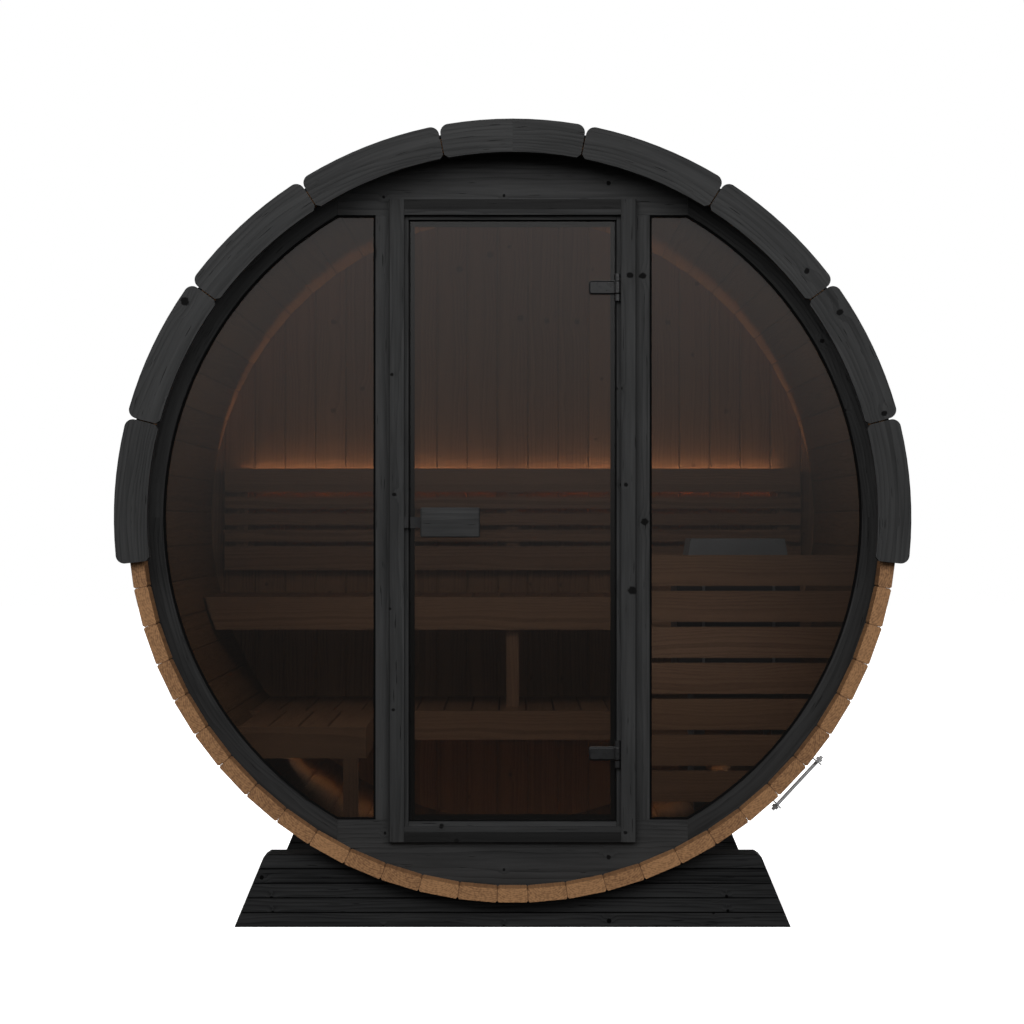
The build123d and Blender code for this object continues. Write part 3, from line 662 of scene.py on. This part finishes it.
def swept_tab(shape, ends, top_turn, foot_turn, base):
    """A curved slab between two ends along the barrel and two angles from the top. Gives its corners."""
    first = len(shape.verts)
    start = bmesh.ops.create_grid(shape, x_segments=1, y_segments=1, size=0.5)["verts"]
    bmesh.ops.scale(shape, vec=(tab_thickness, ends[1] - ends[0], 1.0), verts=start)
    bmesh.ops.rotate(shape, cent=(0, 0, 0), matrix=Matrix.Rotation(math.pi / 2, 3, "Y"), verts=start)
    place = (0.0, (ends[0] + ends[1]) / 2, axis_height + base + tab_thickness / 2)
    bmesh.ops.translate(shape, vec=place, verts=start)
    axis = (0.0, 0.0, axis_height)
    bmesh.ops.rotate(shape, cent=axis, matrix=Matrix.Rotation(top_turn, 3, "Y"), verts=start)
    sweep = {"cent": axis, "axis": (0, 1, 0), "angle": foot_turn - top_turn, "steps": 4}
    swept = bmesh.ops.spin(shape, geom=start[0].link_faces[:], **sweep)
    shape.verts.ensure_lookup_table()
    last = [part for part in swept["geom_last"] if isinstance(part, bmesh.types.BMVert)]
    return shape.verts[first:], last


def outwards(turn, reach):
    """Step away from the barrel's axis at an angle from the top."""
    return Vector((math.sin(turn), 0.0, math.cos(turn))) * reach


print("eaves at", round(math.degrees(eave_angle), 1), "degrees from the top")

# %% Lay the courses and the ridge
roof = bmesh.new()
courses = math.ceil((eave_angle - 0.06) / course_angle)
for course in range(courses):
    foot_turn = eave_angle - course * course_angle
    top_turn = max(foot_turn - course_angle - head_lap / sheet_radius, 0.02)
    offset = tab_pitch / 2 * (course % 2)
    for tab in range(-4, 5):
        left = max(tab * tab_pitch + offset + tab_slot / 2, -roof_half)
        right = min((tab + 1) * tab_pitch + offset - tab_slot / 2, roof_half)
        if right - left > 0.03:
            _, lower_edge = swept_tab(roof, (left, right), top_turn, foot_turn, sheet_radius)
            bmesh.ops.translate(roof, vec=outwards(foot_turn, tab_thickness + 0.0006), verts=lower_edge)
bmesh.ops.mirror(roof, geom=roof.verts[:] + roof.edges[:] + roof.faces[:], axis="X", merge_dist=0.00001)
for piece in range(ridge_pieces):
    start = -roof_half + piece * ridge_pitch
    ends = (start, min(start + ridge_pitch + head_lap, roof_half))
    cap, _ = swept_tab(roof, ends, -ridge_turn, ridge_turn, sheet_radius + 2 * tab_thickness + 0.0008)
    front = [corner for corner in cap if corner.co.y < start + 0.001]
    bmesh.ops.translate(roof, vec=(0.0, 0.0, tab_thickness + 0.0004), verts=front)
bmesh.ops.recalc_face_normals(roof, faces=roof.faces[:])
shingle_mesh = bpy.data.meshes.new("shingles")
roof.to_mesh(shingle_mesh)
roof.free()
shingles = bpy.data.objects.new("shingles", shingle_mesh)
bpy.context.collection.objects.link(shingles)
shingles.data.materials.append(shingle_face)
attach(shingles, "cabin")
print("shingles", len(shingle_mesh.polygons), "faces in", 2 * courses, "courses")

# %% [markdown]
# ## Heater and lights
# The heater's case is grey powder coat, whose fine orange peel shows only as a soft gloss. The light strips
# are warm white, one behind the backrest and one under the lower bench. Each shines from one face only, as a
# strip in its channel does, so the face is picked out by its coordinate.

# %% Finishes of the heater and the light strips
def coat_finish(name, colour, roughness, trim=None):
    """Powder coat; ribs and plinth of the case may have a paler trim colour."""
    material, shader, place = start_finish(name)
    peel = noise(vector(place["x"], place["y"], place["z"]), 2.0, 420.0)
    cloud = noise(vector(place["x"], place["y"], place["z"]), 2.0, 6.0)
    darker = tuple(0.8 * part for part in colour)
    shell = mix_colour(cloud, colour, darker)
    if trim:
        pale = (place["z"] < plinth_top).larger(place["y"] < rib_back)
        shell = mix_colour(pale, shell, trim)
    feed(shader, {"Base Color": shell, "Roughness": peel * 0.15 + roughness})
    feed(shader, {"Normal": bump(peel, 0.12, 0.0003), "Specular IOR Level": 0.3})
    return material


def light_finish(name, colour, strength, lit):
    """A strip that shines from one face: the back one or the bottom one."""
    material, shader, place = start_finish(name)
    low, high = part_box(name)
    flicker = noise(vector(place["x"] * 40.0, place["y"], place["z"]), 1.0)
    glow = mix_colour(flicker * 0.3, colour, (1.0, 0.8, 0.6))
    shines = place["y"] > high.y - 0.001 if lit == "back" else place["z"] < low.z + 0.001
    channel = mix_colour(flicker, (0.02, 0.02, 0.02), (0.04, 0.039, 0.038))
    feed(shader, {"Base Color": channel, "Roughness": 0.4})
    feed(shader, {"Emission Color": mix_colour(shines, (0.0, 0.0, 0.0), glow), "Emission Strength": strength})
    return material


case_low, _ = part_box("heater_body")
rib_depth = 0.006
rib_back = case_low.y + rib_depth / 2
plinth_top = 0.641
heater_case = coat_finish("heater case", (0.06, 0.061, 0.062), 0.35, (0.2, 0.203, 0.206))
heater_top = coat_finish("heater top", (0.17, 0.173, 0.176), 0.4)
lamp_warm = (1.0, 0.68, 0.42)
back_light = light_finish("backrest_light", lamp_warm, 4.0, "back")
foot_light = light_finish("lower_bench_light", lamp_warm, 32.0, "bottom")
print("made", heater_case.name, heater_top.name, back_light.name, foot_light.name)

# %% [markdown]
# ## Give every piece its finish
# A loaded piece keeps its mesh and only gets a material in its slot. The finishes could be assigned where
# they are made, but one table from piece to finish shows at a glance whether a piece was forgotten.

# %% Assign the finishes
stave_nodes = [f"{part}_staves_{side}" for part in ("lower", "roof") for side in ("right", "left")]
finish_of = {name: stave_wood for name in (*stave_nodes, "closing_stave")}
finish_of.update(black_wood)
finish_of.update(planed_wood)
finish_of.update({name: tinted_glass for name in ("window_glass_left", "window_glass_right", "door_glass")})
finish_of.update({name: hinge_metal for name in ("frame_hinges", "door_hinges")})
finish_of.update({name: hoop_steel for name in ("front_hoop", "rear_hoop")})
finish_of.update({name: catch_plastic for name in ("door_catch", "catch_keeper")})
finish_of.update({"back_wall": back_boards, "roof_covering": roof_sheet, "window_seals": seal_rubber})
finish_of.update({"tension_bolts": bolt_steel, "heater_body": heater_case, "heater_hood": heater_top})
finish_of.update({"backrest_light": back_light, "lower_bench_light": foot_light})
for name, node in nodes.items():
    node.data.materials.clear()
    node.data.materials.append(finish_of[name])
print("dressed", len(finish_of), "of", len(nodes), "pieces")

# %% [markdown]
# ## The studio
# The photograph is a front view on white. A pale floor meets a white world, and large soft lights stand
# above and beside the camera, so that the overhanging fascia shades the wall under it. The world is bright
# above the horizon and dim below it, which is what the panes mirror: haze at the top, clear glass lower down.
# Inside, two weak lamps stand for daylight through the door, and a thin one behind the backrest carries the
# strip's light up to the staves, where it draws an arch.

# %% Floor and world
floor_half = 30.0
floor_mesh = bpy.data.meshes.new("floor")
shape = bmesh.new()
bmesh.ops.create_grid(shape, x_segments=1, y_segments=1, size=floor_half)
shape.to_mesh(floor_mesh)
shape.free()
floor = bpy.data.objects.new("floor", floor_mesh)
bpy.context.collection.objects.link(floor)
floor_finish, floor_shader, _ = start_finish("pale floor")
feed(floor_shader, {"Base Color": (0.9, 0.9, 0.9, 1.0), "Roughness": 0.9, "Specular IOR Level": 0.0})
feed(floor_shader, {"Emission Color": (1.0, 1.0, 1.0, 1.0), "Emission Strength": 0.7})
floor.data.materials.append(floor_finish)
floor.visible_glossy = False
floor.visible_diffuse = False

world = bpy.data.worlds.new("studio")
bpy.context.scene.world = world
world.use_nodes = True
backdrop = world.node_tree.nodes["Background"]
seen = Wire(world.node_tree).node("ShaderNodeLightPath", output="Is Camera Ray")
direction = seen.node("ShaderNodeTexCoord", output="Generated")
height = direction.node("ShaderNodeSeparateXYZ", inputs={"Vector": direction}).other("Z")
haze_start = -0.06
haze_end = 0.16
sky_strength = 0.72
ground_strength = 0.04
sky = fade(height, haze_start, haze_end) * sky_strength + ground_strength
strength = seen.larger(sky)
feed(backdrop, {"Color": (1.0, 1.0, 1.0, 1.0), "Strength": strength})
print("floor", 2 * floor_half, "m wide, world", world.name)


# %% Lights
def soft_light(name, place, target, size, power):
    light = bpy.data.lights.new(name, "AREA")
    light.shape = "RECTANGLE"
    light.size, light.size_y = size
    light.energy = power
    holder = bpy.data.objects.new(name, light)
    bpy.context.collection.objects.link(holder)
    holder.location = place
    holder.rotation_euler = (Vector(target) - Vector(place)).to_track_quat("-Z", "Y").to_euler()
    return holder


barrel_middle = (0.0, 0.0, axis_height)
soft_light("key", (-2.0, -6.5, 4.6), barrel_middle, (5.0, 3.0), 235.0)
soft_light("fill", (3.5, -6.5, 4.0), barrel_middle, (4.0, 3.0), 130.0)
soft_light("rear", (0.0, 6.5, 5.0), barrel_middle, (5.0, 3.0), 250.0)
inside_high = soft_light("inside high", (0.0, -0.6, 1.5), (0.0, 0.8, 0.7), (1.3, 0.5), 4.0)
inside_low = soft_light("inside low", (0.0, -0.76, 0.75), (0.0, 0.6, 0.6), (1.5, 0.1), 1.1)
strip_place = Vector((0.0, wall_low.y - 0.007, backrest_high.z - 0.05))
strip_glow = soft_light("strip glow", strip_place, strip_place + outwards(0.0, 1.0), (1.8, 0.01), 8.5)
strip_glow.data.color = lamp_warm
for lamp in (inside_high, inside_low, strip_glow):
    lamp.visible_camera = False
    lamp.visible_glossy = False

# %% [markdown]
# ## The camera
# A long lens stands level in front of the door. The picture's horizon lies a little below its middle, which
# a small vertical shift of the lens gives without tilting the view.

# %% Camera
photo_size = 1024
horizon_below_middle = 13.0
offset_left = 0.6
camera_height = 1.114
camera_distance = 7.83
lens = bpy.data.cameras.new("camera")
lens.lens = 100.0
lens.sensor_width = 36.0
lens.shift_y = horizon_below_middle / photo_size
lens.shift_x = -offset_left / photo_size
camera = bpy.data.objects.new("camera", lens)
bpy.context.collection.objects.link(camera)
camera.location = (0.0, -barrel_end - camera_distance, camera_height)
camera.rotation_euler = (math.pi / 2, 0.0, 0.0)
bpy.context.scene.camera = camera
bpy.context.scene.view_settings.view_transform = "Standard"
print("camera at", tuple(round(part, 3) for part in camera.location))
